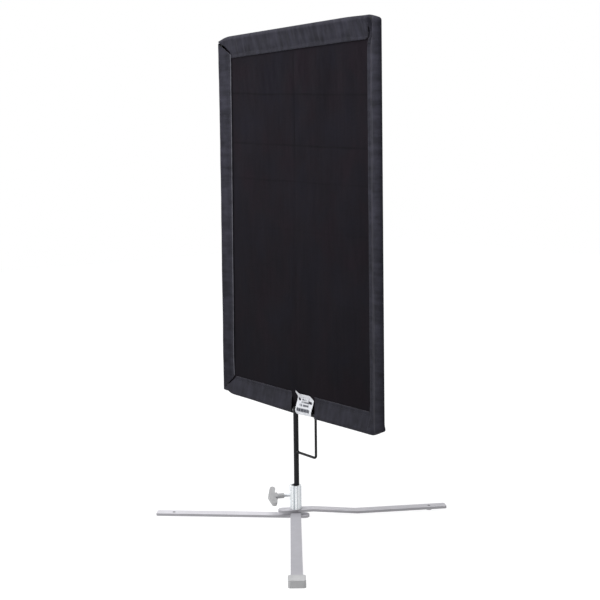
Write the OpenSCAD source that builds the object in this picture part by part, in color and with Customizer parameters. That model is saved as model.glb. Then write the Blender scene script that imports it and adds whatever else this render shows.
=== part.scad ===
// A black cloth lighting flag on a folding floor stand.
// Millimetres. The origin is on the floor, straight below the flag's pin.
// The cloth lies in the XZ plane, its hems face -Y, and +Z is up.

/* [Flag] */
// Width of the covered frame
flag_w = 610; // [450:10:760]
// Height of the covered frame
flag_h = 914; // [600:1:1100]
// Height of the lower hem above the floor
flag_base = 262; // [240:1:300]
// How far the middle of the flag stands to the right of the pin
flag_shift = 5; // [-40:1:40]
// Diameter of the frame rod
rod_d = 8; // [6:0.5:9]
// Bend radius of the frame corners, to the middle of the rod
bend_r = 36; // [24:1:40]
// Thickness of the cloth
cloth_t = 1.2; // [0.8:0.1:1.6]
// Width of the folded hems
hem_w = 50; // [40:1:60]
// Left end of the notch in the lower hem, from the pin
notch_left = 9; // [7:1:14]
// Right end of the notch in the lower hem, from the pin
notch_right = 82; // [80:1:100]

/* [Pin and brace] */
// Diameter of the mounting pin
pin_d = 12.7; // [12:0.1:13]
// Diameter of the brace rod
brace_d = 6; // [4:0.5:7]
// Distance from the pin to the upright of the brace
brace_x = 77; // [60:1:78]
// Drop of the brace below the lower hem
brace_drop = 97; // [60:1:110]

/* [Label] */
// Width of the sewn label
label_w = 64; // [40:1:66]
// Height of the sewn label
label_h = 52; // [30:1:60]

/* [Legs] */
// Width of the leg bars
leg_w = 26; // [22:1:30]
// Thickness of the leg bars
leg_t = 6; // [4:0.5:6.5]
// Length of the front leg, from the pin to the end of its bar
front_len = 430; // [360:1:480]
// Length of the left leg, from the pin to its tip
left_len = 346; // [300:1:420]
// Length of the right leg, from the pin to its tip
right_len = 379; // [300:1:420]
// Direction of the front leg
front_dir = -37.4; // [-60:0.1:-20]
// Direction of the left leg
left_dir = -132.6; // [-150:0.1:-120]
// Direction of the right leg
right_dir = 60; // [45:1:75]
// Length of the front and left legs' rounded tails, behind the centre bolt
leg_tail = 34; // [30:1:45]
// Length of the right leg's rounded tail
right_tail = 43; // [30:1:48]

/* [Socket] */
// Width of the hexagonal socket across its flats
socket_af = 27; // [26:0.5:32]
// Height of the socket
socket_h = 59; // [50:1:70]
// How far the thumb screw pushes the pin off the socket's middle
pin_shift = 3.4; // [0:0.1:3.6]
// Direction in which the thumb screw points
screw_dir = -116; // [-150:1:-110]
// Angle by which the thumb screw's wing is turned from upright
wing_turn = 55; // [0:1:180]
// Length of the thumb screw's wing
wing_len = 50; // [40:1:56]

/* [Hidden] */
$fn = 64;

// The flag's outline and the lines along the middle of its rods
rod_r = rod_d / 2;
sleeve_in = rod_r + 0.3;
sleeve_out = sleeve_in + cloth_t;
x_left = flag_shift - flag_w / 2;
x_right = flag_shift + flag_w / 2;
z_bottom = flag_base;
z_top = flag_base + flag_h;
rod_left = x_left + sleeve_out;
rod_right = x_right - sleeve_out;
rod_bottom = z_bottom + sleeve_out;
rod_top = z_top - sleeve_out;
hem_flat = bend_r * (1 - cos(45)) + rod_r + sleeve_out + 1;

// The stand's centre bolt is off the pin, on the thumb screw's side
stand_x = pin_shift * cos(screw_dir);
stand_y = pin_shift * sin(screw_dir);

// The leg stack, from the floor up
left_glide_t = 1.8;
right_glide_t = 4;
washer_t = 0.8;
left_z = left_glide_t;
front_z = left_z + leg_t + washer_t;
right_z = front_z + leg_t + washer_t;
socket_washer_t = 1;
socket_z = right_z + leg_t + socket_washer_t;
stack_gap = 0.15;
hinge_gap = 0.3;
bolt_r = 3;
bolt_head_r = 6;
bolt_head_h = 3.3;

// The right leg slopes down to its pad between these two distances
slope_from = 42;
slope_to = 152;
glide_inset = 43;
glide_r = 7;
glide_stem_r = 3.6;
glide_recess = 3;

// The socket
pin_r = pin_d / 2;
bore_r = pin_r + pin_shift + 0.1;
socket_floor = 8;
nut_h = 7;
nut_af = 10;
bolt_end = socket_z + socket_floor + nut_h + 2;
pin_foot = bolt_end + 2;
pin_top = rod_bottom + 10;
screw_z = 56.5;

// The thumb screw, as distances from the socket's axis
stud_r = 4;
thread_pitch = 1.25;
thread_depth = 0.6;
pad_r = 3.4;
pad_t = 2;
pad_at = pin_r - pin_shift + 0.15;
stud_from = pad_at + pad_t + 0.2;
stud_to = 39;
stem_from = 29;
stem_to = 49;
stem_r = 6.3;
wing_depth = 19;
wing_thick = 13;
wing_end_r = 7;
wing_sweep = 6;

// The rubber cap on the front leg
cap_len = 32;
cap_w = 38;
cap_h = 16.5;
cap_corner = 6;
cap_bury = 20;

// Puts its children on the stand's centre bolt
module on_stand() {
    translate([stand_x, stand_y, 0]) children();
}

// The plan of a leg along +X: a rounded tail, a straight bar, rounded corners
module leg_plan(len, tail = leg_tail) {
    tip_r = 4;
    translate([leg_w / 2 - tail, 0]) circle(d = leg_w);
    translate([leg_w / 2 - tail, -leg_w / 2])
        square([len + tail - leg_w / 2 - tip_r, leg_w]);
    translate([len - tip_r * 2, tip_r - leg_w / 2])
        square([tip_r * 2, leg_w - tip_r * 2]);
    for (side = [-1, 1])
        translate([len - tip_r, side * (leg_w / 2 - tip_r)]) circle(tip_r);
}

module bolt_hole(z) {
    translate([0, 0, z - 1]) cylinder(r = bolt_r + hinge_gap, h = leg_t + 2);
}

// A straight leg at height z, bored for the centre bolt
module flat_leg(len, z) {
    difference() {
        translate([0, 0, z]) linear_extrude(leg_t) leg_plan(len);
        bolt_hole(z);
        children();
    }
}

module glide_hole(len, z) {
    translate([len - glide_inset, 0, z - 1])
        cylinder(r = glide_stem_r + 0.1, h = leg_t + 2);
}

module front_leg() {
    color("gainsboro") on_stand() rotate(front_dir)
        flat_leg(front_len, front_z);
}

// The lowest leg also takes the bolt's countersunk head
module left_leg() {
    sink = bolt_head_h + hinge_gap;
    color("gainsboro") on_stand() rotate(left_dir) flat_leg(left_len, left_z) {
        glide_hole(left_len, left_z);
        translate([0, 0, left_z - 0.01])
            cylinder(r1 = bolt_head_r + 0.6, r2 = bolt_r + hinge_gap, h = sink);
    }
}

// Over the other legs, then sloping down, then level above its pad
module right_leg() {
    under = [[-right_tail, right_z], [slope_from, right_z],
             [slope_to, right_glide_t], [right_len, right_glide_t]];
    over = [for (i = [len(under) - 1 : -1 : 0]) under[i] + [0, leg_t]];
    color("gainsboro") on_stand() rotate(right_dir) difference() {
        intersection() {
            translate([0, leg_w / 2, 0]) rotate([90, 0, 0])
                linear_extrude(leg_w) polygon(concat(under, over));
            linear_extrude(socket_z) leg_plan(right_len, right_tail);
        }
        bolt_hole(right_z);
        glide_hole(right_len, right_glide_t);
    }
}

// A block with rounded upright corners, centred on Y
module rounded_block(len, wide, high, r) {
    translate([0, r - wide / 2, 0]) cube([len, wide - 2 * r, high]);
    translate([r, -wide / 2, 0]) cube([len - 2 * r, wide, high]);
    for (x = [r, len - r], y = [r - wide / 2, wide / 2 - r])
        translate([x, y, 0]) cylinder(r = r, h = high);
}

module front_foot_cap() {
    color("darkgray") on_stand() rotate(front_dir) difference() {
        translate([front_len - cap_bury, 0, 0])
            rounded_block(cap_len, cap_w, cap_h, cap_corner);
        translate([front_len - cap_bury - 1, -leg_w / 2 - 0.05, front_z - 0.05])
            cube([cap_bury + 1.05, leg_w + 0.1, leg_t + 0.1]);
    }
}

// A rubber pad under a leg's tip, with a stem pushed up through the leg
module glide(dir, len, high) {
    on_stand() rotate(dir) translate([len - glide_inset, 0, 0]) {
        cylinder(r = glide_r, h = high - 0.02);
        cylinder(r = glide_stem_r, h = high + leg_t - glide_recess);
    }
}

module left_leg_glide() {
    color("dimgray") glide(left_dir, left_len, left_glide_t);
}

module right_leg_glide() {
    color("dimgray") glide(right_dir, right_len, right_glide_t);
}

// Countersunk bolt, up through the three legs and the socket's floor
module centre_bolt() {
    key_af = 4;
    key_depth = 2.2;
    foot = left_z + 0.2;
    color("silver") on_stand() translate([0, 0, foot]) difference() {
        union() {
            cylinder(r1 = bolt_head_r, r2 = bolt_r, h = bolt_head_h);
            cylinder(r = bolt_r, h = bolt_end - foot);
        }
        translate([0, 0, key_depth - 10])
            cylinder(d = key_af / cos(30), h = 10, $fn = 6);
    }
}

module lock_nut() {
    color("silver") on_stand()
        translate([0, 0, socket_z + socket_floor + stack_gap]) difference() {
            cylinder(d = nut_af / cos(30), h = nut_h, $fn = 6);
            translate([0, 0, -1]) cylinder(r = bolt_r + 0.05, h = nut_h + 2);
        }
}

module washer(z, outer_r, space) {
    on_stand() translate([0, 0, z + stack_gap]) difference() {
        cylinder(r = outer_r, h = space - 2 * stack_gap);
        translate([0, 0, -1]) cylinder(r = bolt_r + 0.2, h = space + 2);
    }
}

module leg_washers() {
    color("silver") {
        washer(left_z + leg_t, 9, washer_t);
        washer(front_z + leg_t, 9, washer_t);
    }
}

module socket_washer() {
    color("silver") washer(right_z + leg_t, 13, socket_washer_t);
}

// Hexagonal bar with bevelled ends, bored for the pin and the thumb screw
module socket_collar() {
    corner_r = socket_af / 2 / cos(30);
    bevel = 1.4;
    color("whitesmoke") on_stand() rotate(screw_dir) difference() {
        translate([0, 0, socket_z]) intersection() {
            rotate(30) cylinder(r = corner_r, h = socket_h, $fn = 6);
            union() {
                cylinder(r1 = corner_r - bevel, r2 = corner_r + 0.2, h = bevel);
                translate([0, 0, bevel])
                    cylinder(r = corner_r + 0.2, h = socket_h - 2 * bevel);
                translate([0, 0, socket_h - bevel])
                    cylinder(r1 = corner_r + 0.2, r2 = corner_r - bevel, h = bevel);
            }
        }
        translate([0, 0, socket_z + socket_floor])
            cylinder(r = bore_r, h = socket_h);
        translate([0, 0, socket_z - 1])
            cylinder(r = bolt_r + hinge_gap, h = socket_floor + 2);
        translate([0, 0, screw_z]) rotate([0, 90, 0])
            cylinder(r = stud_r + hinge_gap, h = socket_af);
    }
}

// Puts its children on the thumb screw's axis, with +Z pointing outwards
module on_screw_axis() {
    on_stand() rotate(screw_dir) translate([0, 0, screw_z]) rotate([0, 90, 0])
        children();
}

// One half of the wing: a round-ended arm that leans back from the middle
module wing_arm() {
    reach = wing_len / 2 - wing_end_r;
    arm = sqrt(reach * reach + wing_sweep * wing_sweep);
    translate([0, wing_depth - wing_end_r]) rotate(-atan(wing_sweep / reach)) {
        circle(wing_end_r);
        translate([0, -wing_end_r]) square([arm, wing_end_r * 2]);
        translate([arm, 0]) circle(wing_end_r);
    }
}

module wing_plan() {
    wing_arm();
    mirror([1, 0, 0]) wing_arm();
    translate([-stem_r, -4]) square([stem_r * 2, wing_depth - wing_end_r + 4]);
}

// Plastic T-shaped head with a round stem moulded over the stud
module thumb_knob() {
    color("darkgray") on_screw_axis() difference() {
        union() {
            translate([0, 0, stem_from])
                cylinder(r = stem_r, h = stem_to + 4 - stem_from);
            rotate(wing_turn) translate([0, wing_thick / 2, stem_to])
                rotate([90, 0, 0]) linear_extrude(wing_thick) wing_plan();
        }
        translate([0, 0, stem_from - 1])
            cylinder(r = stud_r + 0.05, h = stud_to - stem_from + 1.1);
    }
}

// The stud's thread is drawn as ridges
module thumb_stud() {
    turns = floor((stud_to - stud_from) / thread_pitch);
    ridges = [for (i = [0 : turns - 1]) each
        [[stud_r - thread_depth, i * thread_pitch],
         [stud_r, (i + 0.5) * thread_pitch]]];
    color("silver") on_screw_axis() translate([0, 0, stud_from])
        rotate_extrude()
            polygon(concat([[0, 0]], ridges,
                           [[stud_r - thread_depth, turns * thread_pitch],
                            [0, turns * thread_pitch]]));
}

module pressure_pad() {
    color("goldenrod") on_screw_axis() translate([0, 0, pad_at])
        cylinder(r = pad_r, h = pad_t);
}

module mount_pin() {
    tip = 1.2;
    color("black") {
        translate([0, 0, pin_foot]) cylinder(r1 = pin_r - tip, r2 = pin_r, h = tip);
        translate([0, 0, pin_foot + tip])
            cylinder(r = pin_r, h = pin_top - pin_foot - 2 * tip);
        translate([0, 0, pin_top - tip])
            cylinder(r1 = pin_r, r2 = pin_r - tip, h = tip);
    }
}

// Thin rod from the pin, round one bend and up to the lower frame rod
module brace_loop() {
    r = brace_d / 2;
    bend = 7;
    z = z_bottom - brace_drop;
    color("black") difference() {
        union() {
            translate([0, 0, z]) rotate([0, 90, 0]) cylinder(r = r, h = brace_x - bend);
            translate([brace_x - bend, 0, z + bend]) rotate([90, 0, 0])
                rotate([0, 0, -90]) rotate_extrude(angle = 90)
                    translate([bend, 0]) circle(r);
            translate([brace_x, 0, z + bend])
                cylinder(r = r, h = rod_bottom - z - bend);
        }
        translate([0, 0, z - 10]) cylinder(r = pin_r + 0.02, h = 20);
        translate([brace_x - 10, 0, rod_bottom]) rotate([0, 90, 0])
            cylinder(r = rod_r + 0.02, h = 20);
    }
}

// The pin and the rods that the beads of weld join, made fatter by clear
module welded_rods(clear) {
    below = z_bottom - brace_drop;
    translate([0, 0, below - 10]) cylinder(r = pin_r + clear, h = brace_drop + 40);
    translate([-20, 0, rod_bottom]) rotate([0, 90, 0])
        cylinder(r = rod_r + clear, h = brace_x + 40);
    translate([0, 0, below]) rotate([0, 90, 0])
        cylinder(r = brace_d / 2 + clear, h = brace_x / 2);
    translate([brace_x, 0, z_bottom - brace_drop / 2])
        cylinder(r = brace_d / 2 + clear, h = brace_drop);
}

// Round beads of weld at the pin and at the top of the brace
module weld_beads() {
    frame_bead = rod_r + 0.9;
    brace_bead = brace_d / 2 + 1.6;
    beads = [[pin_r, rod_bottom, frame_bead],
             [-pin_r, rod_bottom, frame_bead],
             [pin_r, z_bottom - brace_drop, brace_bead],
             [brace_x, rod_bottom - rod_r, brace_bead]];
    color("black") difference() {
        for (b = beads) translate([b[0], 0, b[1]]) sphere(b[2]);
        welded_rods(0.03);
    }
}

module upright_rod(x) {
    color("black") translate([x, 0, rod_bottom + bend_r])
        cylinder(r = rod_r, h = rod_top - rod_bottom - 2 * bend_r);
}

module frame_left_rod() {
    upright_rod(rod_left);
}

module frame_right_rod() {
    upright_rod(rod_right);
}

module level_rod(x0, x1, z) {
    color("black") translate([x0, 0, z]) rotate([0, 90, 0])
        cylinder(r = rod_r, h = x1 - x0);
}

module frame_top_rod() {
    level_rod(rod_left + bend_r, rod_right - bend_r, rod_top);
}

// The lower rod stops at the pin on both sides
module pin_notch() {
    translate([0, 0, rod_bottom - 10]) cylinder(r = pin_r + 0.02, h = 20);
}

module frame_bottom_left_rod() {
    color("black") difference() {
        level_rod(rod_left + bend_r, 0, rod_bottom);
        pin_notch();
    }
}

module frame_bottom_right_rod() {
    color("black") difference() {
        level_rod(0, rod_right - bend_r, rod_bottom);
        pin_notch();
    }
}

// The four quarter bends of the same rod
module frame_corner_bends() {
    corners = [[rod_left + bend_r, rod_bottom + bend_r, 180],
               [rod_right - bend_r, rod_bottom + bend_r, 270],
               [rod_right - bend_r, rod_top - bend_r, 0],
               [rod_left + bend_r, rod_top - bend_r, 90]];
    color("black") for (c = corners)
        translate([c[0], 0, c[1]]) rotate([90, 0, 0]) rotate(c[2])
            rotate_extrude(angle = 90) translate([bend_r, 0]) circle(rod_r);
}

// The main sheet of cloth passes behind the rods and is notched at the pin
module cover_panel() {
    notch_h = 14;
    color("black") difference() {
        translate([rod_left, sleeve_in, rod_bottom])
            cube([rod_right - rod_left, cloth_t, rod_top - rod_bottom]);
        translate([-notch_left, 0, z_bottom])
            cube([notch_left + notch_right, pin_d, sleeve_out + notch_h]);
    }
}

// A hem in section. +X runs inwards from the flag's edge and -Y is the front:
// round the rod, flat for a way and then slanting back to the main sheet.
module hem_section() {
    back = sleeve_in - 0.02;
    middle = (sleeve_in + sleeve_out) / 2;
    difference() {
        translate([sleeve_out, 0]) circle(sleeve_out);
        translate([sleeve_out, 0]) circle(sleeve_in);
        translate([sleeve_out, -sleeve_out]) square(sleeve_out * 2);
    }
    polygon([[sleeve_out - 0.5, -middle], [sleeve_out, -sleeve_out],
             [hem_flat, -sleeve_out], [hem_w, back - cloth_t],
             [hem_w, back], [hem_flat - 1, -sleeve_in],
             [sleeve_out, -sleeve_in]]);
}

// A hem standing along +Z. The mitre at its foot is cut at 45 degrees, and
// its top is cut the same way or left square.
module hem(len, top_mitre = hem_w) {
    intersection() {
        linear_extrude(len) hem_section();
        translate([0, sleeve_out * 2, 0]) rotate([90, 0, 0])
            linear_extrude(sleeve_out * 4)
                polygon([[0, 0], [hem_w, hem_w], [hem_w, len - top_mitre], [0, len]]);
    }
}

module hem_left() {
    color("dimgray") translate([x_left, 0, z_bottom]) hem(flag_h);
}

module hem_right() {
    color("dimgray") translate([x_right, 0, z_bottom]) mirror([1, 0, 0]) hem(flag_h);
}

module hem_top() {
    color("dimgray") translate([x_left, 0, z_top]) rotate([0, 90, 0]) hem(flag_w);
}

module hem_bottom_left() {
    color("dimgray") translate([x_left, 0, z_bottom]) mirror([0, 0, 1])
        rotate([0, 90, 0]) hem(-notch_left - x_left, 0);
}

module hem_bottom_right() {
    color("dimgray") translate([x_right, 0, z_bottom]) rotate([0, -90, 0])
        hem(x_right - notch_right, 0);
}

// A sewn label that hangs from the main sheet over the notch
module sewn_label() {
    label_t = 0.8;
    x = brace_x + 3 - label_w;
    z = z_bottom + 3;
    front = -sleeve_out - 2;
    color("white") translate([x + label_w, 0, z]) rotate([0, -90, 0])
        linear_extrude(label_w)
            polygon([[0, front], [0, front - label_t],
                     [label_h * 0.45, front - label_t],
                     [label_h, sleeve_in - 0.1 - label_t],
                     [label_h, sleeve_in - 0.1],
                     [label_h * 0.45, front]]);
}

front_leg();
left_leg();
right_leg();
front_foot_cap();
left_leg_glide();
right_leg_glide();
centre_bolt();
lock_nut();
leg_washers();
socket_washer();
socket_collar();
thumb_knob();
thumb_stud();
pressure_pad();
mount_pin();
brace_loop();
weld_beads();
frame_left_rod();
frame_right_rod();
frame_top_rod();
frame_bottom_left_rod();
frame_bottom_right_rod();
frame_corner_bends();
cover_panel();
hem_left();
hem_right();
hem_top();
hem_bottom_left();
hem_bottom_right();
sewn_label();
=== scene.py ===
import math

import bmesh
import bpy
from mathutils import Matrix, Vector, noise


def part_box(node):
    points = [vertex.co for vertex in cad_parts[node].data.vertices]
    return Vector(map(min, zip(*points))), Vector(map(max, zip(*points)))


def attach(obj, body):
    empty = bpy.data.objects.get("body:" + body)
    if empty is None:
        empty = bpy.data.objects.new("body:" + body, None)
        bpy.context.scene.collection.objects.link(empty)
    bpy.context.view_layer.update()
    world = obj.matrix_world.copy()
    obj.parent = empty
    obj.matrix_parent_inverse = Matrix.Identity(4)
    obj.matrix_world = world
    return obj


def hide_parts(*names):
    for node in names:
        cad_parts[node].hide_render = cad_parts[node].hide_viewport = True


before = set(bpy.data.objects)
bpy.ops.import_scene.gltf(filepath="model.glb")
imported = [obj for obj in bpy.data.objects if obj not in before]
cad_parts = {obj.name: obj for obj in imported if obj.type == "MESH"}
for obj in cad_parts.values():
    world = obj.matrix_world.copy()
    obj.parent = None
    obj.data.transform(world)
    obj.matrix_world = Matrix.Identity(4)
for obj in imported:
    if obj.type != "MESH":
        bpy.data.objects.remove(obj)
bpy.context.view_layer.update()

scene = bpy.context.scene
MM = 0.001


# ---------------------------------------------------------------- the flag's own measures
left_lo, left_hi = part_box("hem_left")
EDGE_L, EDGE_R = left_lo.x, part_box("hem_right")[1].x
EDGE_B, EDGE_T = left_lo.z, left_hi.z
WIDE, TALL = EDGE_R - EDGE_L, EDGE_T - EDGE_B
SLEEVE = -left_lo.y                    # outer radius of the sleeve of cloth round a rod
HEM = left_hi.x - left_lo.x
CLOTH = 1.0 * MM                       # thickness of the cloth that is shown
MID = SLEEVE - CLOTH / 2               # radius of the sleeve's middle surface
SHEET_Y = MID                          # the main sheet lies behind the rods
NOTCH_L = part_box("hem_bottom_left")[1].x
NOTCH_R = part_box("hem_bottom_right")[0].x
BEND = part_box("frame_left_rod")[0].z - EDGE_B       # outer radius of the flag's corners
REFLECTION_LINE_AT = -6.3 * MM                   # where a dark line of painted reflection runs down the socket
FOLD_X = 2 * MM                        # the upright fold that storing left in the sheet
# The folds across the sheet: height above its foot, rise to the left, strength
FOLDS = ((761 * MM, 34 * MM, 1.0), (642 * MM, 27 * MM, 1.0), (557 * MM, 20 * MM, 0.6),
         (441 * MM, 8 * MM, 0.25), (277 * MM, 6 * MM, 0.25))


# ---------------------------------------------------------------- small helpers
def smooth(t):
    """Rises from 0 to 1 as t does, level at both ends."""
    t = min(1.0, max(0.0, t))
    return t * t * (3 - 2 * t)


def wave(x, y, z, seed):
    """Smooth noise from -1 to 1."""
    return noise.noise(Vector((x + seed * 17.3, y - seed * 5.1, z + seed * 2.7)))


def bell(x, centre, width):
    """A bell curve, 1 at centre and about a third at width from it."""
    return math.exp(-((x - centre) / width) ** 2)


def new_object(name, mesh, *materials):
    obj = bpy.data.objects.new(name, mesh)
    scene.collection.objects.link(obj)
    for mat in materials:
        mesh.materials.append(mat)
    return obj


def shade_smooth(obj):
    obj.data.polygons.foreach_set("use_smooth", [True] * len(obj.data.polygons))
    obj.data.update()


class Builder:
    """Collects grids of points, each with cloth coordinates, into one mesh."""

    def __init__(self):
        self.points, self.faces, self.cloth, self.kind = [], [], [], []

    def grid(self, rows, cloth, kind=0):
        """rows[i][j] are points and cloth[i][j] their (along, across) in metres."""
        base, wide = len(self.points), len(rows[0])
        for r, c in zip(rows, cloth):
            self.points.extend(r)
            self.cloth.extend(c)
        for i in range(len(rows) - 1):
            for j in range(wide - 1):
                a = base + i * wide + j
                self.faces.append((a, a + 1, a + wide + 1, a + wide))
                self.kind.append(kind)

    def build(self, name, *materials, merge=0.0):
        mesh = bpy.data.meshes.new(name)
        mesh.from_pydata(self.points, [], self.faces)
        uv = mesh.uv_layers.new(name="cloth")
        for loop in mesh.loops:
            uv.data[loop.index].uv = self.cloth[loop.vertex_index]
        mesh.polygons.foreach_set("material_index", self.kind)
        if merge:
            bm = bmesh.new()
            bm.from_mesh(mesh)
            bmesh.ops.remove_doubles(bm, verts=bm.verts, dist=merge)
            bm.to_mesh(mesh)
            bm.free()
        obj = new_object(name, mesh, *materials)
        shade_smooth(obj)
        return obj


def thicken(obj, thickness):
    """Gives a surface its thickness, half to each side."""
    mod = obj.modifiers.new("thickness", "SOLIDIFY")
    mod.thickness = thickness
    mod.offset = 0.0
    mod.use_even_offset = True
    return mod


# ---------------------------------------------------------------- materials
# Colours are linear red, green and blue. Noise scales are in cycles per metre.
def material(name, color, rough, metallic=0.0, specular=0.5):
    mat = bpy.data.materials.new(name)
    mat.use_nodes = True
    shader = mat.node_tree.nodes["Principled BSDF"]
    shader.inputs["Base Color"].default_value = (*color, 1)
    shader.inputs["Roughness"].default_value = rough
    shader.inputs["Metallic"].default_value = metallic
    shader.inputs["Specular IOR Level"].default_value = specular
    mat.diffuse_color = (*color, 1)
    return mat, mat.node_tree, shader


class Net:
    """Short calls for building a material's nodes."""

    def __init__(self, tree):
        self.tree = tree

    def node(self, kind, **settings):
        n = self.tree.nodes.new(kind)
        for key, value in settings.items():
            setattr(n, key, value)
        return n

    def link(self, out, into):
        self.tree.links.new(out, into)

    def feed(self, value, into):
        """Sets an input to a number or a colour, or links another node to it."""
        if isinstance(value, (int, float)):
            into.default_value = value
        elif isinstance(value, tuple):
            into.default_value = (*value, 1)
        else:
            self.link(value, into)

    def math(self, how, a, b=0.0, clamp=False):
        n = self.node("ShaderNodeMath", operation=how, use_clamp=clamp)
        self.feed(a, n.inputs[0])
        self.feed(b, n.inputs[1])
        return n.outputs[0]

    def noise(self, coords, scale, detail=3.0, rough=0.5, distortion=0.0):
        n = self.node("ShaderNodeTexNoise")
        n.inputs["Scale"].default_value = scale
        n.inputs["Detail"].default_value = detail
        n.inputs["Roughness"].default_value = rough
        n.inputs["Distortion"].default_value = distortion
        self.link(coords, n.inputs["Vector"])
        return n.outputs["Fac"]

    def wave(self, coords, scale, direction="X", distortion=0.0):
        n = self.node("ShaderNodeTexWave", wave_type="BANDS", bands_direction=direction)
        n.inputs["Scale"].default_value = scale
        n.inputs["Distortion"].default_value = distortion
        n.inputs["Detail"].default_value = 0.0
        self.link(coords, n.inputs["Vector"])
        return n.outputs["Fac"]

    def ramp(self, fac, *stops):
        n = self.node("ShaderNodeValToRGB")
        elements = n.color_ramp.elements
        while len(elements) < len(stops):
            elements.new(0.5)
        for e, (at, c) in zip(elements, stops):
            e.position = at
            e.color = (*c, 1)
        self.link(fac, n.inputs["Fac"])
        return n.outputs["Color"]

    def mix(self, fac, a, b, how="MIX"):
        n = self.node("ShaderNodeMix", data_type="RGBA", blend_type=how)
        for i, value in ((0, fac), (6, a), (7, b)):       # the inputs that colours use
            self.feed(value, n.inputs[i])
        return n.outputs[2]

    def remap(self, value, a, b, c, d):
        """Takes a..b to c..d and stays within c..d."""
        n = self.node("ShaderNodeMapRange")
        for i, v in enumerate((a, b, c, d)):
            n.inputs[i + 1].default_value = v
        self.link(value, n.inputs[0])
        return n.outputs[0]

    def bump(self, height, strength, distance):
        n = self.node("ShaderNodeBump")
        n.inputs["Strength"].default_value = strength
        n.inputs["Distance"].default_value = distance
        self.link(height, n.inputs["Height"])
        return n.outputs["Normal"]

    def scaled(self, coords, x, y, z, turn=0.0):
        n = self.node("ShaderNodeMapping")
        n.inputs["Scale"].default_value = (x, y, z)
        n.inputs["Rotation"].default_value = (0, 0, turn)
        self.link(coords, n.inputs["Vector"])
        return n.outputs["Vector"]

    def coords(self, which="Object"):
        return self.node("ShaderNodeTexCoord").outputs[which]

    def cloth(self):
        return self.node("ShaderNodeUVMap", uv_map="cloth").outputs["UV"]

    def axes(self, vector):
        """The X, Y and Z parts of a vector."""
        n = self.node("ShaderNodeSeparateXYZ")
        self.link(vector, n.inputs[0])
        return n.outputs[0], n.outputs[1], n.outputs[2]

    def along(self, vector, direction):
        """How far a vector reaches in a fixed direction."""
        n = self.node("ShaderNodeVectorMath", operation="DOT_PRODUCT")
        n.inputs[1].default_value = direction
        self.link(vector, n.inputs[0])
        return n.outputs["Value"]

    def times(self, a, b):
        return self.math("MULTIPLY", a, b)

    def plus(self, a, b):
        return self.math("ADD", a, b)

    def blend(self, a, b, share):
        """A weighted sum: share of a and the rest of b."""
        return self.plus(self.times(a, share), self.times(b, 1 - share))


def shade(color, factor, add=0.0):
    """A colour made darker or lighter, at most white."""
    return tuple(min(1.0, c * factor + add) for c in color)


def painted_foot_shade(n, coords, base, least):
    """Painted shade: multiplies the colour darker towards the foot, standing in for light that
    falls off lower down.
    """
    up = n.remap(n.axes(coords)[2], EDGE_B, EDGE_B + 0.75 * TALL, 0, 1)
    return n.mix(1.0, base, n.ramp(up, (0.0, (least,) * 3), (1.0, (1.0,) * 3)), "MULTIPLY")


def woven_cloth(name, color, thread, rough, contrast, blotch):
    """Twill with threads of the given width, a fine weave and soft uneven colour."""
    mat, tree, shader = material(name, color, rough, specular=0.16)
    n = Net(tree)
    uv, obj = n.cloth(), n.coords()
    per = 1 / thread / 2
    warp = n.wave(n.scaled(uv, 1, 1, 1, math.radians(27)), per * 0.62, "X", 0.6)
    weft = n.wave(uv, per * 0.5, "Y", 0.3)
    weave = n.times(warp, n.plus(n.times(weft, 0.5), 0.5))
    cloudy = n.noise(obj, 26, 5, 0.62)
    fine = n.noise(obj, 300, 3, 0.6)
    streak = n.noise(n.scaled(uv, 75, 16, 1), 1.0, 3, 0.6)
    mixed = n.blend(n.blend(cloudy, fine, blotch), streak, 0.55)
    base = n.ramp(mixed, (0.36, shade(color, 1 - contrast)), (0.5, color),
                  (0.64, shade(color, 1 + contrast)))
    base = n.mix(n.times(weave, 0.18), base, shade(color, 1.5))
    # Painted shade: the cloth is made darker towards its foot.
    n.link(painted_foot_shade(n, obj, base, 0.68), shader.inputs["Base Color"])
    n.link(n.remap(fine, 0.3, 0.7, rough - 0.08, min(1, rough + 0.06)),
           shader.inputs["Roughness"])
    n.link(n.bump(n.blend(weave, fine, 0.6), 0.12, thread * 0.5), shader.inputs["Normal"])
    shader.inputs["Sheen Weight"].default_value = 0.03
    shader.inputs["Sheen Roughness"].default_value = 0.45
    shader.inputs["Sheen Tint"].default_value = (*shade(color, 8, 0.3), 1)
    return mat


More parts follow.
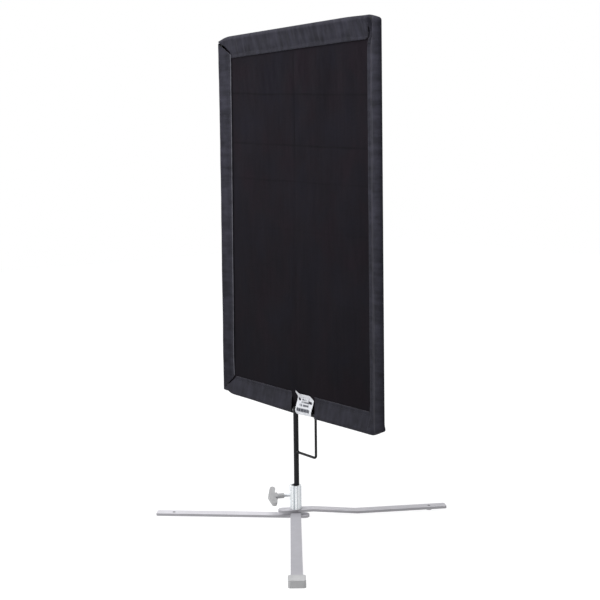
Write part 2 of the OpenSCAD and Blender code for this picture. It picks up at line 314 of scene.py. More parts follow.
def napped_cloth():
    """The brushed black face: matt, with long faint marks and reddish and bluish blotches."""
    color, painted_fold_shade = (0.0086, 0.0073, 0.0103), (0.0050, 0.0046, 0.0062)
    mat, tree, shader = material("flag_nap", color, 0.95, specular=0.04)
    n = Net(tree)
    obj = n.coords()
    cloud = n.noise(n.scaled(obj, 7, 7, 4.5), 1.0, 5, 0.6)
    hue = n.noise(n.scaled(obj, 11, 11, 8), 1.0, 4, 0.55, 0.4)
    streak = n.noise(n.scaled(obj, 150, 150, 14), 1.0, 3, 0.6)
    fibre = n.noise(n.scaled(obj, 1500, 1500, 700), 1.0, 2, 0.6)
    tint = n.ramp(hue, (0.36, (0.0079, 0.0073, 0.0111)), (0.5, color),
                  (0.62, (0.0100, 0.0072, 0.0103)))
    level = n.blend(cloud, streak, 0.65)
    base = n.mix(1.0, tint, n.ramp(level, (0.30, (0.66,) * 3), (0.72, (1.26,) * 3)), "MULTIPLY")
    base = n.mix(n.times(fibre, 0.20), base, (0.022, 0.019, 0.025))
    x, _, z = n.axes(obj)
    wander = n.times(n.noise(n.scaled(obj, 6, 6, 2), 1.0, 2, 0.5), 0.008)
    tilted = n.math("DIVIDE", x, WIDE)
    lines = []
    for height, rise, share in FOLDS:
        level = n.plus(n.plus(z, wander), n.times(tilted, rise))
        lines.append((n.math("SUBTRACT", level, EDGE_B + height + 0.0045), share, 1.0))
    upper = n.remap(z, EDGE_B + 0.52, EDGE_B + 0.66, 0.15, 1.0)
    lines.append((n.math("SUBTRACT", x, FOLD_X), 1.0, upper))
    broken = n.remap(n.noise(n.scaled(obj, 9, 9, 9), 1.0, 3, 0.6), 0.35, 0.65, 0.25, 0.75)
    # Painted shade: thin darker lines along the folds across the sheet and along the upright fold.
    for line, share, fade in lines:
        dark = n.remap(n.math("ABSOLUTE", line), 0.0008, 0.0036, share, 0)
        base = n.mix(n.times(n.times(dark, fade), broken), base, painted_fold_shade)
    # Painted shade: the nap is made darker towards its foot.
    n.link(painted_foot_shade(n, obj, base, 0.60), shader.inputs["Base Color"])
    n.link(n.bump(n.blend(fibre, streak, 0.5), 0.35, 0.0006), shader.inputs["Normal"])
    shader.inputs["Sheen Weight"].default_value = 0.01
    shader.inputs["Sheen Roughness"].default_value = 0.6
    return mat


def thread_material():
    """Twisted black cotton thread."""
    mat, tree, shader = material("black_thread", (0.020, 0.020, 0.027), 0.65, specular=0.15)
    n = Net(tree)
    twist = n.wave(n.scaled(n.coords(), 1, 1, 1, 0.8), 700, "DIAGONAL")
    n.link(n.ramp(twist, (0.2, (0.014, 0.014, 0.019)), (0.8, (0.036, 0.036, 0.046))),
           shader.inputs["Base Color"])
    n.link(n.bump(twist, 0.3, 0.0002), shader.inputs["Normal"])
    return mat


def plated_bar(name, color, rough, metallic, grain=(900, 900, 900), side_shade=1.0):
    """Bar metal with faint drawing marks, small pits and edges rubbed lighter. Its upright sides
    can be painted darker than its level faces, as painted shade where less light falls."""
    mat, tree, shader = material(name, color, rough, metallic)
    n = Net(tree)
    obj = n.coords()
    cloud = n.noise(obj, 28, 5, 0.6)
    marks = n.noise(n.scaled(obj, *grain), 1.0, 2, 0.5)
    pits = n.noise(obj, 420, 3, 0.65)
    edge = n.node("ShaderNodeNewGeometry").outputs["Pointiness"]
    base = n.ramp(cloud, (0.3, shade(color, 0.88)), (0.7, shade(color, 1.072)))
    base = n.mix(n.remap(edge, 0.53, 0.60, 0, 0.5), base, shade(color, 1.25, 0.02))
    # Painted shade: upright sides darker than level faces by the given factor.
    upright = n.math("ABSOLUTE", n.axes(n.coords("Normal"))[2])
    level = n.remap(upright, 0.4, 0.9, side_shade, 1.0)
    base = n.mix(1.0, base, n.ramp(level, (0.0, (0, 0, 0)), (1.0, (1, 1, 1))), "MULTIPLY")
    n.link(base, shader.inputs["Base Color"])
    n.link(n.remap(n.blend(marks, pits, 0.5), 0.3, 0.7, rough - 0.07, rough + 0.10),
           shader.inputs["Roughness"])
    n.link(n.bump(n.plus(marks, n.times(pits, 0.6)), 0.06, 0.0002), shader.inputs["Normal"])
    return mat


def drawn_bar():
    """Bright bar drawn through a die: fine lines run along it, and one dark line down it is
    painted reflection.
    """
    color = (0.80, 0.83, 0.85)
    mat, tree, shader = material("socket_bright_metal", color, 0.30, 0.45)
    n = Net(tree)
    obj = n.coords()
    lines = n.noise(n.scaled(obj, 330, 330, 3), 1.0, 3, 0.6)
    specks = n.noise(obj, 420, 3, 0.65)
    base = n.ramp(lines, (0.36, (0.50, 0.54, 0.57)), (0.47, color), (0.60, (0.88, 0.90, 0.91)))
    # Painted reflection: a dark line placed across the view, where the socket shows a dark
    # reflection.
    place = n.along(obj, (0.614, 0.789, 0))
    off_reflection_line = n.math("ABSOLUTE", n.math("SUBTRACT", place, REFLECTION_LINE_AT))
    reflection_line = n.remap(off_reflection_line, 0.0006, 0.0017, 0.85, 0)
    base = n.mix(reflection_line, base, (0.22, 0.26, 0.29))
    n.link(base, shader.inputs["Base Color"])
    n.link(n.remap(specks, 0.3, 0.7, 0.24, 0.38), shader.inputs["Roughness"])
    n.link(n.bump(lines, 0.15, 0.0004), shader.inputs["Normal"])
    return mat


def enamel():
    """Black enamel on steel rod: satin, with an orange-peel surface and lighter streaks painted in
    as highlights, which also vary its roughness.
    """
    mat, tree, shader = material("black_enamel", (0.012, 0.012, 0.013), 0.50, specular=0.10)
    n = Net(tree)
    obj = n.coords()
    peel = n.noise(obj, 900, 3, 0.55)
    painted_highlight_streaks = n.noise(n.scaled(obj, 500, 500, 30), 1.0, 4, 0.6)
    # Painted highlight: lighter streaks in the black colour.
    n.link(n.ramp(painted_highlight_streaks, (0.35, (0.011, 0.011, 0.012)), (0.66, (0.020, 0.020, 0.022)),
                  (0.74, (0.045, 0.045, 0.047))), shader.inputs["Base Color"])
    n.link(n.remap(painted_highlight_streaks, 0.3, 0.75, 0.46, 0.62), shader.inputs["Roughness"])
    n.link(n.bump(peel, 0.10, 0.0004), shader.inputs["Normal"])
    return mat


def weld_material():
    """Beads of weld: black like the rods, but lighter grey up at the frame, a painted highlight on
    the bead there.
    """
    mat, tree, shader = material("weld_steel", (0.10, 0.10, 0.105), 0.45, 0.4, specular=0.3)
    n = Net(tree)
    obj = n.coords()
    high = n.remap(n.axes(obj)[2], EDGE_B - 10 * MM, EDGE_B, 0, 1)
    scale = n.noise(obj, 500, 4, 0.6)
    # Painted highlight: the beads at the frame are made lighter grey.
    bead_highlight = n.ramp(scale, (0.35, (0.06, 0.06, 0.065)), (0.65, (0.20, 0.20, 0.205)))
    n.link(n.mix(high, (0.013, 0.013, 0.014), bead_highlight), shader.inputs["Base Color"])
    n.link(n.bump(scale, 0.3, 0.0005), shader.inputs["Normal"])
    return mat


def moulded(name, color, rough, grain=700):
    """Moulded rubber or plastic with a fine eroded grain and slight dusting."""
    mat, tree, shader = material(name, color, rough, specular=0.35)
    n = Net(tree)
    obj = n.coords()
    grainy = n.noise(obj, grain, 4, 0.65)
    dust = n.noise(obj, 45, 5, 0.65)
    n.link(n.ramp(dust, (0.3, shade(color, 0.90)), (0.7, shade(color, 1.10))),
           shader.inputs["Base Color"])
    n.link(n.remap(grainy, 0.3, 0.7, rough - 0.08, min(1, rough + 0.08)),
           shader.inputs["Roughness"])
    n.link(n.bump(grainy, 0.25, 0.0004), shader.inputs["Normal"])
    return mat


def label_material():
    """White woven tape with a block of bars and four rows of dashes, which say nothing."""
    mat, tree, shader = material("label_tape", (0.80, 0.81, 0.83), 0.75, specular=0.2)
    n = Net(tree)
    uv = n.cloth()
    x, z, _ = n.axes(uv)

    def band(value, low, high):
        soft = 1.2 * MM
        up = n.remap(value, low - soft, low + soft, 0, 1)
        down = n.remap(value, high - soft, high + soft, 1, 0)
        return n.times(up, down)

    dashes = n.remap(n.noise(n.scaled(uv, 300, 60, 1), 1.0, 2, 0.6), 0.42, 0.50, 0, 1)
    bars = n.remap(n.noise(n.scaled(uv, 500, 5, 1), 1.0, 2, 0.6), 0.32, 0.50, 0.35, 1)
    rows = (                           # marks, left and right end, foot and head, strength
        (bars, 0.005, 0.053, 0.0078, 0.0165, 1.00),
        (dashes, 0.012, 0.046, 0.0215, 0.0268, 0.90),
        (dashes, 0.018, 0.046, 0.0298, 0.0340, 0.90),
        (dashes, 0.018, 0.046, 0.0360, 0.0402, 0.90),
        (dashes, 0.018, 0.046, 0.0425, 0.0450, 0.45))
    ink = 0.0
    for marks, left, right, low, high, strength in rows:
        place = n.times(band(z, low, high), n.times(band(x, left, right), strength))
        ink = n.math("ADD", n.times(place, marks), ink, clamp=True)
    weave = n.times(n.wave(uv, 900, "X"), n.wave(uv, 900, "Y"))
    soil = n.noise(uv, 60, 4, 0.6)
    base = n.ramp(soil, (0.3, (0.44, 0.45, 0.48)), (0.7, (0.66, 0.67, 0.69)))
    base = n.mix(ink, base, (0.03, 0.033, 0.045))
    n.link(base, shader.inputs["Base Color"])
    n.link(n.remap(soil, 0.3, 0.7, 0.68, 0.85), shader.inputs["Roughness"])
    n.link(n.bump(weave, 0.2, 0.0003), shader.inputs["Normal"])
    return mat


NAP = napped_cloth()
HEM_CLOTH = woven_cloth("hem_smooth_cotton", (0.0200, 0.0195, 0.0280), thread=1.1 * MM,
                        rough=0.80, contrast=0.62, blotch=0.7)
# Painted highlight: a much lighter cloth for the hems' cut edges and rolled inner edge, where
# light catches them.
HEM_EDGE_HIGHLIGHT = woven_cloth("hem_edge_painted_highlight", (0.12, 0.12, 0.14), thread=0.9 * MM,
                       rough=0.85, contrast=0.40, blotch=0.6)
BACK_CLOTH = woven_cloth("back_smooth_cotton", (0.0185, 0.0180, 0.0260), thread=1.1 * MM,
                         rough=0.85, contrast=0.35, blotch=0.6)
THREAD = thread_material()
LABEL = label_material()
ROLLED = (40, 40, 2000)                # marks that lie flat, as rolling leaves them
# Both leg materials paint shade on their upright sides.
LEGS = plated_bar("leg_satin_metal", (0.50, 0.49, 0.52), 0.45, 0.15, ROLLED, side_shade=0.62)
FRONT_LEG = plated_bar("front_leg_satin_metal", (0.32, 0.315, 0.34), 0.50, 0.15, ROLLED,
                       side_shade=0.8)
SOCKET = drawn_bar()
STEEL = plated_bar("zinc_steel", (0.70, 0.71, 0.73), 0.35, 0.50)
BRASS = plated_bar("turned_brass", (0.66, 0.48, 0.20), 0.30, 0.95)
ENAMEL = enamel()
WELD = weld_material()
KNOB = moulded("knob_plastic", (0.375, 0.375, 0.38), 0.55)
RUBBER = moulded("cap_rubber", (0.42, 0.42, 0.425), 0.70, 500)

finishes = {
    LEGS: ["left_leg", "right_leg"],
    FRONT_LEG: ["front_leg"],
    SOCKET: ["socket_collar"],
    STEEL: ["centre_bolt", "lock_nut", "leg_washers", "socket_washer", "thumb_stud"],
    BRASS: ["pressure_pad"],
    KNOB: ["thumb_knob"],
    RUBBER: ["front_foot_cap", "left_leg_glide", "right_leg_glide"],
    WELD: ["weld_beads"],
    ENAMEL: ["mount_pin", "brace_loop", "frame_left_rod", "frame_right_rod", "frame_top_rod",
             "frame_bottom_left_rod", "frame_bottom_right_rod", "frame_corner_bends"],
}
for mat, names in finishes.items():
    for name in names:
        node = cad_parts[name]
        node.data.materials.clear()
        node.data.materials.append(mat)


def soften(name, width):
    """Rounds the CAD node's sharp edges a little, as a modifier."""
    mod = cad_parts[name].modifiers.new("soft_edges", "BEVEL")
    mod.width = width
    mod.segments = 3 if width > MM else 2
    mod.limit_method = "ANGLE"
    mod.angle_limit = math.radians(30)


for name, width in (("socket_collar", 0.45), ("front_leg", 0.6), ("left_leg", 0.6),
                    ("right_leg", 0.6), ("front_foot_cap", 1.6), ("thumb_knob", 1.8),
                    ("socket_washer", 0.3)):
    soften(name, width * MM)


# ---------------------------------------------------------------- the camera
CAMERA_AT = Vector((2.0314, -1.5629, 0.8851))
YAW, PITCH, ROLL = -0.9097, -0.1345, -0.0121        # radians, yaw from the +Y axis
ahead = Vector((math.sin(YAW) * math.cos(PITCH), math.cos(YAW) * math.cos(PITCH),
                math.sin(PITCH)))
level = Vector((math.cos(YAW), -math.sin(YAW), 0))
above = level.cross(ahead)
right = math.cos(ROLL) * level + math.sin(ROLL) * above
up = -math.sin(ROLL) * level + math.cos(ROLL) * above
camera_data = bpy.data.cameras.new("camera")
camera_data.lens = 64.8
camera_data.sensor_width = 36
camera = bpy.data.objects.new("camera", camera_data)
scene.collection.objects.link(camera)
turned = Matrix((right, up, -ahead)).transposed()
camera.matrix_world = Matrix.Translation(CAMERA_AT) @ turned.to_4x4()
scene.camera = camera


# ---------------------------------------------------------------- the shape of the hems
RIM = SLEEVE - MID                     # the outline's own distance to the middle surface
BAND = 9.5 * MM                        # flat band along a hem's inner edge, sewn down
FOOT = -(SHEET_Y - CLOTH * 1.3)        # depth of that band, in front of the rods' plane
# Steps of a hem's surface: outline to crest, crest to inner edge, round the rod's back
WRAP, FLAP, TURNS = 13, 24, 7
# At each corner the cloth is drawn in over the rod's bend and ends in a small ear:
# side of the flag, end of it, reach along X, drop at the ear, radius of the ear's tip
CORNERS = ((-1, -1, BEND * 1.1, 7.5 * MM, 2.5 * MM), (1, -1, BEND * 0.9, 16.5 * MM, 4 * MM),
           (1, 1, BEND * 0.9, 10 * MM, 6 * MM), (-1, 1, BEND * 1.15, 6.5 * MM, 1.5 * MM))
CORNER_TALL = HEM + 20 * MM            # how far up or down a side a corner's shape reaches
# How far each side edge stands outside the frame at the top, and how much more at the foot
WIDER_L, WIDER_R = (-1.0 * MM, 8.5 * MM), (-1.0 * MM, 8.2 * MM)


def drawn(x, z):
    """The cloth isn't quite square: it is wider at its foot and its edges bow a little."""
    down = (EDGE_T - z) / TALL
    if x < 0:
        out = WIDER_L[0] + WIDER_L[1] * min(1.0, max(0.0, (down - 0.23) / 0.72))
    else:
        out = WIDER_R[0] + WIDER_R[1] * down
    inward = x - EDGE_L
    high = smooth(1 - (EDGE_T - z) / (70 * MM)) * smooth(inward / (30 * MM))
    low = smooth(1 - (z - EDGE_B) / (70 * MM))
    z += 2.1 * MM * high * (1 - smooth((x - 0.19) / 0.09))
    z -= 2.1 * MM * low * bell(x, 0.03, 0.15)
    slack = smooth((inward - 6 * MM) / (22 * MM)) * (1 - smooth((inward - 85 * MM) / (135 * MM)))
    z += (1.0 * MM * slack + 2.2 * MM * bell(inward, 19 * MM, 9 * MM)) * low
    knot = 2.6 * MM * bell(z, EDGE_B + 19 * MM, 7 * MM)
    x += knot * smooth((x - EDGE_R + 12 * MM) / (10 * MM))
    return x + out * x / EDGE_R, z


def rounded(x, z):
    """Shapes the square corners of the outline's plane. Points far inside stay."""
    for sx, sz, reach, drop, r in CORNERS:
        a = x - EDGE_L if sx < 0 else EDGE_R - x
        b = z - EDGE_B if sz < 0 else EDGE_T - z
        if a > reach or b > CORNER_TALL:
            continue
        p, q = r - a, r - b
        if p > 0 and q > 0:            # within the ear's tip: squares become circles
            m = max(p, q)
            turn = math.radians(45) * min(p, q) / m
            c, d = m * math.cos(turn), m * math.sin(turn)
            if p < q:
                c, d = d, c
            a, b = r - c, r - d
        b += drop * (1 - a / reach) ** 1.35 * smooth(1 - b / CORNER_TALL)
        x = EDGE_L + a if sx < 0 else EDGE_R - a
        z = EDGE_B + b if sz < 0 else EDGE_T - b
    return drawn(x, z)


def no_change(w):
    return 0.0


def no_crest_change(w):
    return 0.0, 0.0


class Hem:
    """A hem as a surface over q, across it, and w, the distance along it. q runs from 0 on
    the outline to 1 on the crest and 2 on the inner edge. v is the distance in from the
    outline. A full hem closes both of the cover's corners that it ends in."""

    def __init__(self, edge, ripple, start, stop, width=HEM, crest_at=9 * MM, crest=6.2 * MM,
                 width_change=no_change, crest_change=no_crest_change, full=False, lift=0.0,
                 roll=0.0):
        self.edge, self.width, self.full = edge, width, full
        self.crest_at, self.crest = crest_at, crest
        self.ripple = ripple           # depth to add at (v, w)
        self.start, self.stop = start, stop
        self.width_change, self.crest_change = width_change, crest_change
        self.lift = lift               # how far the inner edge stands off the sheet
        self.roll = roll               # radius of the inner edge, where it is turned under
        self.length = TALL if edge in ("left", "right") else WIDE

    def place(self, v, w, y):
        if self.edge == "left":
            x, z = EDGE_L + v, EDGE_B + w
        elif self.edge == "right":
            x, z = EDGE_R - v, EDGE_B + w
        elif self.edge == "top":
            x, z = EDGE_L + w, EDGE_T - v
        else:
            x, z = EDGE_L + w, EDGE_B + v
        x, z = rounded(x, z)
        return Vector((x, y, z))

    def across(self, q, w):
        """(distance in from the outline, depth in front of the rods) before folds."""
        move, rise = self.crest_change(w)
        at, crest = self.crest_at + move, self.crest + rise
        width = self.width + self.width_change(w)
        foot = FOOT + self.lift * smooth((w - 20 * MM) / (90 * MM))
        if q < 1:
            turn = q * math.pi / 2
            return RIM + (at - RIM) * (1 - math.cos(turn)), crest * math.sin(turn)
        v = at + (width - at) * (q - 1)
        seam = width - BAND
        if v < seam:
            t = (v - at) / (seam - at)
            ease = t + 0.10 * math.sin(2 * math.pi * t) / 2
            return v, crest + (foot - crest) * ease
        return v, foot

    def near_end(self, w):
        """(share of the depth, depth of the hem underneath or None) near a full hem's end."""
        d = min(w, self.length - w)
        if not self.full or d >= HEM + 10 * MM:
            return 1.0, None
        reach, crossing = 9 * MM, 6.6 * MM
        t = max(0.0, 1 - (d - RIM) / (reach - RIM))
        share = math.sqrt(max(0.0, 1 - t * t))
        t = max(0.0, (d - reach) / (HEM - BAND - reach))
        return share, crossing + (FOOT - crossing) * min(1.0, t)

    def point(self, q, w):
        v, depth = self.across(q, w)
        share, under = self.near_end(w)
        if under is not None:
            inner = smooth((v - 24 * MM) / (14 * MM))
            other = (under + 1.3 * MM) * inner + depth * (1 - inner)
            gap = depth - other
            depth = 0.5 * (depth + other + math.sqrt(gap * gap + MM * MM) - MM)
        hold = smooth(q / 0.5)
        if q >= 1:
            hold = smooth((self.width - BAND + 4 * MM - v) / (9 * MM))
        depth += self.ripple(v, w) * hold
        return self.place(v, w, -depth * share)

    def stations(self, v, count):
        """Distances along the hem, closer together towards its ends."""
        lo, hi = self.start(v), self.stop(v)
        steps = [i / count for i in range(count + 1)]
        return [lo + (hi - lo) * (t - 0.085 * math.sin(2 * math.pi * t)) for t in steps]

    def back(self, count):
        """The cloth that goes round the rod's back, from the main sheet to the outline."""
        rows, cloth = [], []
        for k in range(TURNS, 0, -1):
            a = math.pi / 2 * k / TURNS
            v = SLEEVE - MID * math.cos(a)
            ws = self.stations(RIM, count)
            lo, hi = (v, self.length - v) if self.full else (ws[0], ws[-1])
            span = ws[-1] - ws[0]
            ws = [lo + (w - ws[0]) / span * (hi - lo) for w in ws]
            rows.append([self.place(v, w, MID * math.sin(a)) for w in ws])
            cloth.append([(w, -MID * a) for w in ws])
        return rows, cloth

    def turned_edge(self, row, cloth):
        """The inner edge, rolled over and under itself."""
        rows, cloths = [], []
        for k in range(7):
            a = math.radians(27 * k)
            out = Vector((math.sin(a), 1 - math.cos(a), 0)) * self.roll
            rows.append([p + out for p in row])
            cloths.append([(w, v + a * self.roll) for w, v in cloth])
        return rows, cloths

    def closed_end(self, at_top, qs, nominal):
        """A full hem's end, which goes round the back of the rod that it crosses."""
        rim = self.length - RIM if at_top else RIM
        far = self.across(2, rim)[0]
        rows, cloth = [], []
        for j in range(TURNS, -1, -1):
            a = math.pi / 2 * j / TURNS
            d = SLEEVE - MID * math.cos(a)
            w = self.length - d if at_top else d
            vs = [d + (self.across(q, rim)[0] - RIM) * (far - d) / (far - RIM) for q in qs]
            row = [self.place(v, w, MID * math.sin(a)) for v in vs]
            flat = [(w, v) for v in nominal]
            rows.append(row if at_top else row[::-1])
            cloth.append(flat if at_top else flat[::-1])
        return rows, cloth

    def build(self, name):
        count = int(self.length / (3.2 * MM))
        qs = [i / WRAP for i in range(WRAP)] + [1 + i / FLAP for i in range(FLAP + 1)]
        nominal = [RIM + (self.crest_at - RIM) * (1 - math.cos(q * math.pi / 2)) if q < 1
                   else self.crest_at + (self.width - self.crest_at) * (q - 1) for q in qs]
        rows, cloth = self.back(count)
        for q, v in zip(qs, nominal):
            ws = self.stations(v, count)
            rows.append([self.point(q, w) for w in ws])
            cloth.append([(w, v) for w in ws])
        builder = Builder()
        builder.grid(rows, cloth)
        if self.roll:
            # The rolled edge takes the second material, a painted highlight.
            builder.grid(*self.turned_edge(rows[-1], cloth[-1]), 1)
        if self.full:
            for at_top in (False, True):
                builder.grid(*self.closed_end(at_top, qs, nominal))
        # The rims take the lighter edge material, a painted highlight.
        obj = builder.build(name, HEM_CLOTH, HEM_EDGE_HIGHLIGHT, merge=0.02 * MM)
        thicken(obj, CLOTH).material_offset_rim = 1
        return obj


# Ripples, and small changes of width and crest, come from seeded smooth noise.
def top_ripple(v, w):
    body = 0.55 + 0.45 * wave(w * 9, 0, 0, 1)
    fine = wave(w * 62, v * 12, 0, 2) + 0.5 * wave(w * 120, v * 20, 0, 3)
    return 3.0 * MM * fine * body + 1.6 * MM * wave(w * 14, v * 14, 1, 4)


def side_ripple(seed, size):
    def ripple(v, w):
        return size * (wave(w * 13, v * 20, 0, seed) + 0.5 * wave(w * 34, v * 30, 0, seed + 1))
    return ripple


def low_ripple(v, w):
    return 0.9 * MM * (wave(w * 16, v * 12, 0, 7) + 0.6 * wave(w * 48, v * 18, 0, 8))


def right_crest(w):
    slow = wave(w * 7.5, 0, 0, 11)
    quick = wave(w * 21, 0, 0, 12)
    return (3.2 * slow + 1.4 * quick) * MM, (0.9 * slow - 0.6 * quick) * MM


TL_TIP, TL_SLOPE = 2 * MM, 0.80        # the fold at the upper left corner


def tl_gap(v):
    """Half of the gap along that fold, widest in its middle."""
    t = min(1.0, (v + 6 * MM) / (HEM + 9 * MM))
    return 6.0 * MM * math.sin(math.pi * t) ** 0.45 + 0.4 * MM


def top_start(v):
    d = (v - TL_TIP) / TL_SLOPE
    return max(RIM, min(d + tl_gap(max(0.0, d)) * 0.6, 46 * MM)) if v > TL_TIP else RIM


def top_stop(v):
    """The top hem's right end leans inwards and has a rounded lower corner."""
    end, r = 275 * MM, 11 * MM
    x = end - 0.13 * v
    d = v - (HEM - r)
    if d > 0:
        x -= r - math.sqrt(max(0.0, r * r - d * d))
    return x - EDGE_L


def top_width(w):
    return -1.6 * MM * smooth(w / 0.45) + 0.5 * MM * wave(w * 9, 0, 0, 5)


def left_stop(v):
    return TALL - TL_TIP - TL_SLOPE * v - tl_gap(v) * 0.6


def left_width(w):
    return (-10 + 8 * w) * MM + 0.5 * MM * wave(w * 11, 0, 0, 6)


def right_width(w):
    """The right hem is narrower near the top, which leaves a gap beside the top hem."""
    return -12 * MM * bell(TALL - w, 30 * MM, 22 * MM) + 0.5 * MM * wave(w * 12, 0, 0, 15)


def mitre(v):
    """Both hems stop just short of the lower left corner's diagonal."""
    return v + 0.15 * MM


# The CAD node that each hem stands for. Its piece has the same name with _cloth added.
hems = {
    "hem_top": Hem("top", top_ripple, top_start, top_stop, HEM + 1.5 * MM, lift=0.8 * MM,
                   width_change=top_width),
    "hem_left": Hem("left", side_ripple(21, 0.8 * MM), mitre, left_stop, lift=2.6 * MM,
                    roll=1.0 * MM, width_change=left_width),
    "hem_right": Hem("right", side_ripple(31, 0.8 * MM), lambda v: RIM, lambda v: TALL - RIM,
                     47.5 * MM, crest_at=18.5 * MM, crest=8.6 * MM, width_change=right_width,
                     crest_change=right_crest, full=True),
    "hem_bottom_left": Hem("bottom", low_ripple, mitre,
                           lambda v: NOTCH_L - EDGE_L - 0.22 * v),
    "hem_bottom_right": Hem("bottom", low_ripple,
                            lambda v: NOTCH_R - EDGE_L - 2 * MM - 0.24 * v,
                            lambda v: WIDE - 44 * MM),
}
for node, hem in hems.items():
    obj = hem.build(node + "_cloth")
    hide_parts(node)
    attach(obj, "flag")


# ---------------------------------------------------------------- the main sheet
def hang_depth(x, z):
    """Wrinkles that hang from the top hem and die out downwards, clear of every hem."""
    hang = smooth((z - EDGE_T + 230 * MM) / (130 * MM))
    hang *= smooth((EDGE_T - z - 50 * MM) / (35 * MM))
    hang *= smooth((min(x - EDGE_L, EDGE_R - x) - 48 * MM) / (40 * MM))
    lean = x + 0.25 * (z - EDGE_T)
    return 3.4 * MM * hang * (wave(lean * 24, 0, z * 4, 47) + 0.4 * wave(lean * 60, 0, z * 7, 48))


def sheet_depth(x, z):
    """How far the sheet stands behind its flat plane."""
    free = min(x - EDGE_L, EDGE_R - x, z - EDGE_B, EDGE_T - z)
    ease = smooth((free - 34 * MM) / (60 * MM))
    y = 2.6 * MM * wave(x * 5, 0, z * 4, 41) + 0.9 * MM * wave(x * 16, 0, z * 9, 42)
    y += 0.35 * MM * wave(x * 60, 0, z * 16, 43)
    for k, (height, rise, share) in enumerate(FOLDS):
        bend = EDGE_B + height - rise * x / WIDE + 2 * MM * wave(x * 8, 0, k, 44)
        sharp = share * math.exp(-abs(z - bend) / (7 * MM))
        y += (0.9 if k % 2 else -0.9) * MM * sharp * (0.7 + 0.3 * wave(x * 6, 0, k, 45))
    y += 0.8 * MM * math.exp(-abs(x - FOLD_X - 1.5 * MM * wave(0, 0, z * 6, 46)) / (7 * MM))
    round_pin = smooth((EDGE_B + 34 * MM - z) / (16 * MM)) * smooth(1 - abs(x) / (22 * MM))
    return y * ease + hang_depth(x, z) + 2.9 * MM * round_pin


def build_sheet():
    """The main sheet, from sleeve to sleeve, with a tongue that reaches down in the notch."""
    nx, nz = 150, 216
    rows, cloth = [], []
    lo_x, hi_x = EDGE_L + SLEEVE, EDGE_R - SLEEVE
    for j in range(nz + 1):
        row, flat = [], []
        for i in range(nx + 1):
            x = lo_x + (hi_x - lo_x) * i / nx
            in_notch = smooth((x - NOTCH_L) / (5 * MM)) * smooth((NOTCH_R - x) / (5 * MM))
            lo_z = EDGE_B + SLEEVE - 3.2 * MM * in_notch
            z = lo_z + (EDGE_T - SLEEVE - lo_z) * j / nz
            rx, rz = rounded(x, z)
            row.append(Vector((rx, SHEET_Y + sheet_depth(x, z), rz)))
            flat.append((x - EDGE_L, z - EDGE_B))
        rows.append(row)
        cloth.append(flat)
    builder = Builder()
    builder.grid(rows, cloth)
    obj = builder.build("cover_cloth", NAP, BACK_CLOTH, BACK_CLOTH)
    mod = thicken(obj, CLOTH)
    mod.material_offset = 1
    mod.material_offset_rim = 2
    return obj


cover = build_sheet()
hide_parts("cover_panel")
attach(cover, "flag")


# ---------------------------------------------------------------- the sewing
FRONT, BACK = Vector((0, -1, 0)), Vector((0, 1, 0))


class Sewing:
    """Collects stitches into one mesh."""

    def __init__(self):
        self.points, self.faces = [], []

    def stitch(self, a, b, out, r):
        """A short plump length of thread from a to b, lying on a surface that faces out."""
        sides, base = 5, len(self.points)
        wide = (b - a).normalized().cross(out).normalized()
        for t, size in ((0.0, 0.45), (0.25, 1.0), (0.75, 1.0), (1.0, 0.45)):
            mid = a.lerp(b, t) + out * r * (0.9 * size - 0.5)
            for k in range(sides):
                turn = 2 * math.pi * k / sides
                offset = wide * math.cos(turn) + out * math.sin(turn)
                self.points.append(mid + offset * r * size)
        for ring in range(3):
            for k in range(sides):
                c, d = base + ring * sides + k, base + ring * sides + (k + 1) % sides
                self.faces.append((c, d, d + sides, c + sides))
        self.faces.append(tuple(base + k for k in reversed(range(sides))))
        self.faces.append(tuple(base + 3 * sides + k for k in range(sides)))

    def build(self, name, slot):
        mesh = bpy.data.meshes.new(name)
        mesh.from_pydata(self.points, [], self.faces)
        obj = new_object(name, mesh, THREAD)
        shade_smooth(obj)
        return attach(obj, "flag")


def behind(p):
    """The point on the back of the main sheet that is straight behind a point."""
    return Vector((p.x, SHEET_Y + CLOTH / 2 + sheet_depth(p.x, p.z), p.z))


def sew_hems():
    """Two rows of stitches along each hem's band, seen on the front and on the back."""
    sewing = Sewing()
    pitch, length, r, margin = 3.9 * MM, 2.9 * MM, 0.33 * MM, 2 * MM
    lift = FRONT * CLOTH / 2
    for hem in hems.values():
        for inset in (2.3 * MM, BAND - 1.2 * MM):
            q = 2 - inset / (hem.width - hem.crest_at)
            v = hem.width - inset
            lo, hi = hem.start(v), hem.stop(v)
            if hem.full:
                lo, hi = 14 * MM, hem.length - 14 * MM
            for i in range(int((hi - lo - margin) / pitch)):
                w = lo + margin + i * pitch
                a, b = hem.point(q, w), hem.point(q, w + length)
                sewing.stitch(a + lift, b + lift, FRONT, r)
                sewing.stitch(behind(a), behind(b), BACK, r)
    return sewing.build("hem_stitches", "hem_cloth")


stitches = sew_hems()


# ---------------------------------------------------------------- the label
LABEL_WIDE, LABEL_TALL = 0.061, 0.052
LABEL_FOOT = -7.0                      # depth of its hanging foot, mm from the rods' plane


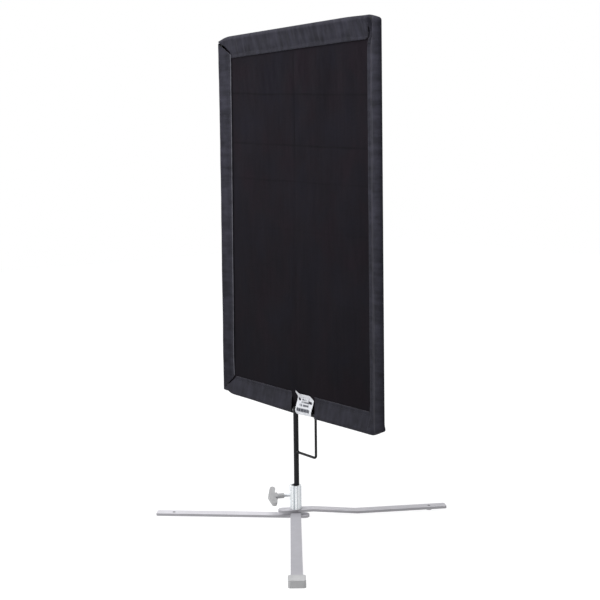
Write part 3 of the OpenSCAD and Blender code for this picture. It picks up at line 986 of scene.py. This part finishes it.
def label_point(u, t):
    """A point of the label. u runs across it and t up it, both from 0 to 1. The sums are
    in millimetres: the outline of its foot and head, and then how it hangs and curls."""
    foot = 1.2 + 2.4 * u + 5.8 * max(0.0, 1 - u / 0.14) ** 1.5
    head = 49.3 + 7.4 * max(0.0, 1 - u / 0.19) ** 1.3
    head -= 9.8 * max(0.0, (u - 0.74) / 0.26) ** 1.1
    rise = foot + (head - foot) * t
    x = (7.8 + 59.8 * u) * (1 - t) + (4.6 + 61.3 * u) * t
    sewn = (SHEET_Y - CLOTH * 1.2) / MM
    down = min(1.0, max(0.0, (40 - rise) / 30))
    y = sewn + (LABEL_FOOT - sewn) * (down + smooth(down)) / 2
    curl = smooth((rise - 41) / 14)
    y -= curl * (6.5 * (1 - u) ** 3 + 1.2 * math.sin(math.pi * u))
    y -= 0.7 * math.sin(math.pi * 1.5 * u + 0.6) * (1 - 0.5 * t)
    return Vector((x * MM, y * MM, EDGE_B + rise * MM))


def build_label():
    nu, nt = 36, 30
    rows = [[label_point(i / nu, j / nt) for i in range(nu + 1)] for j in range(nt + 1)]
    cloth = [[(LABEL_WIDE * i / nu, LABEL_TALL * j / nt) for i in range(nu + 1)]
             for j in range(nt + 1)]
    builder = Builder()
    builder.grid(rows, cloth)
    obj = builder.build("sewn_label_cloth", LABEL)
    thicken(obj, 0.45 * MM)
    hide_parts("sewn_label")
    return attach(obj, "flag")


label = build_label()


def tack_label():
    """Two short bars of thread, seven strands each, hold the label to the sheet."""
    sewing = Sewing()
    for u, t, half, slant in ((0.135, 0.69, 5.0 * MM, 0.9 * MM), (0.80, 0.70, 7.4 * MM, 1.9 * MM)):
        for k in range(-3, 4):
            a, b = (label_point(u + side * half / LABEL_WIDE, t)
                    + Vector((0, -0.5 * MM, k * 0.8 * MM + side * slant)) for side in (-1, 1))
            sewing.stitch(a, b, FRONT, 0.55 * MM)
    return sewing.build("label_stitches", "label_cloth")


tacks = tack_label()


# ---------------------------------------------------------------- each hem's span at half its width, worked out and not used
for node, hem in hems.items():
    span = hem.stop(HEM / 2) - hem.start(HEM / 2)


# ---------------------------------------------------------------- floor and light
def build_floor():
    """Grey paper that glows, as on a light table, so that it shows white with no shadow."""
    mat, tree, shader = material("floor_paper", (0.22, 0.22, 0.222), 0.85, specular=0.1)
    n = Net(tree)
    grain = n.noise(n.coords(), 90, 3, 0.6)
    n.link(n.bump(grain, 0.03, 0.0005), shader.inputs["Normal"])
    shader.inputs["Emission Color"].default_value = (1, 1, 1, 1)
    shader.inputs["Emission Strength"].default_value = 0.86
    mesh = bpy.data.meshes.new("floor")
    bm = bmesh.new()
    bmesh.ops.create_grid(bm, x_segments=8, y_segments=8, size=6.0)
    bm.to_mesh(mesh)
    bm.free()
    new_object("floor", mesh, mat)


def soft_light(name, place, aim, size, power):
    """A square white area light that points at aim."""
    data = bpy.data.lights.new(name, "AREA")
    data.shape = "SQUARE"
    data.size = size
    data.energy = power
    obj = bpy.data.objects.new(name, data)
    scene.collection.objects.link(obj)
    obj.location = place
    obj.rotation_euler = (Vector(aim) - Vector(place)).to_track_quat("-Z", "Y").to_euler()


def build_world():
    """White behind everything. What lights the object is a softer grey room, bright above
    and to the left, with a white backdrop on its far side."""
    world = bpy.data.worlds.new("studio")
    scene.world = world
    world.use_nodes = True
    n = Net(world.node_tree)
    sky = n.coords("Generated")
    level = n.remap(n.along(sky, (-0.55, -0.35, 0.75)), -0.8, 1.0, 0.0, 1.0)
    grey = n.ramp(level, (0.30, (0.05, 0.05, 0.055)), (1.0, (0.90, 0.91, 0.93)))
    backdrop = n.remap(n.along(sky, (-0.789, 0.614, 0.05)), 0.35, 0.9, 0, 1)
    room = world.node_tree.nodes["Background"]
    n.link(n.mix(backdrop, grey, (0.95, 0.95, 0.95)), room.inputs["Color"])
    room.inputs["Strength"].default_value = 1.0
    white = n.node("ShaderNodeBackground")
    white.inputs["Color"].default_value = (1, 1, 1, 1)
    white.inputs["Strength"].default_value = 1.0
    seen = n.node("ShaderNodeMixShader")
    n.link(n.node("ShaderNodeLightPath").outputs["Is Camera Ray"], seen.inputs[0])
    n.link(room.outputs[0], seen.inputs[1])
    n.link(white.outputs[0], seen.inputs[2])
    n.link(seen.outputs[0], world.node_tree.nodes["World Output"].inputs["Surface"])


build_floor()
build_world()
soft_light("key_left", place=(-1.9, -2.0, 2.1), aim=(0, 0, 0.75), size=1.4, power=40)
soft_light("top_soft", place=(0.2, -0.9, 3.2), aim=(0, 0, 0.4), size=2.0, power=72)
scene.view_settings.view_transform = "Standard"
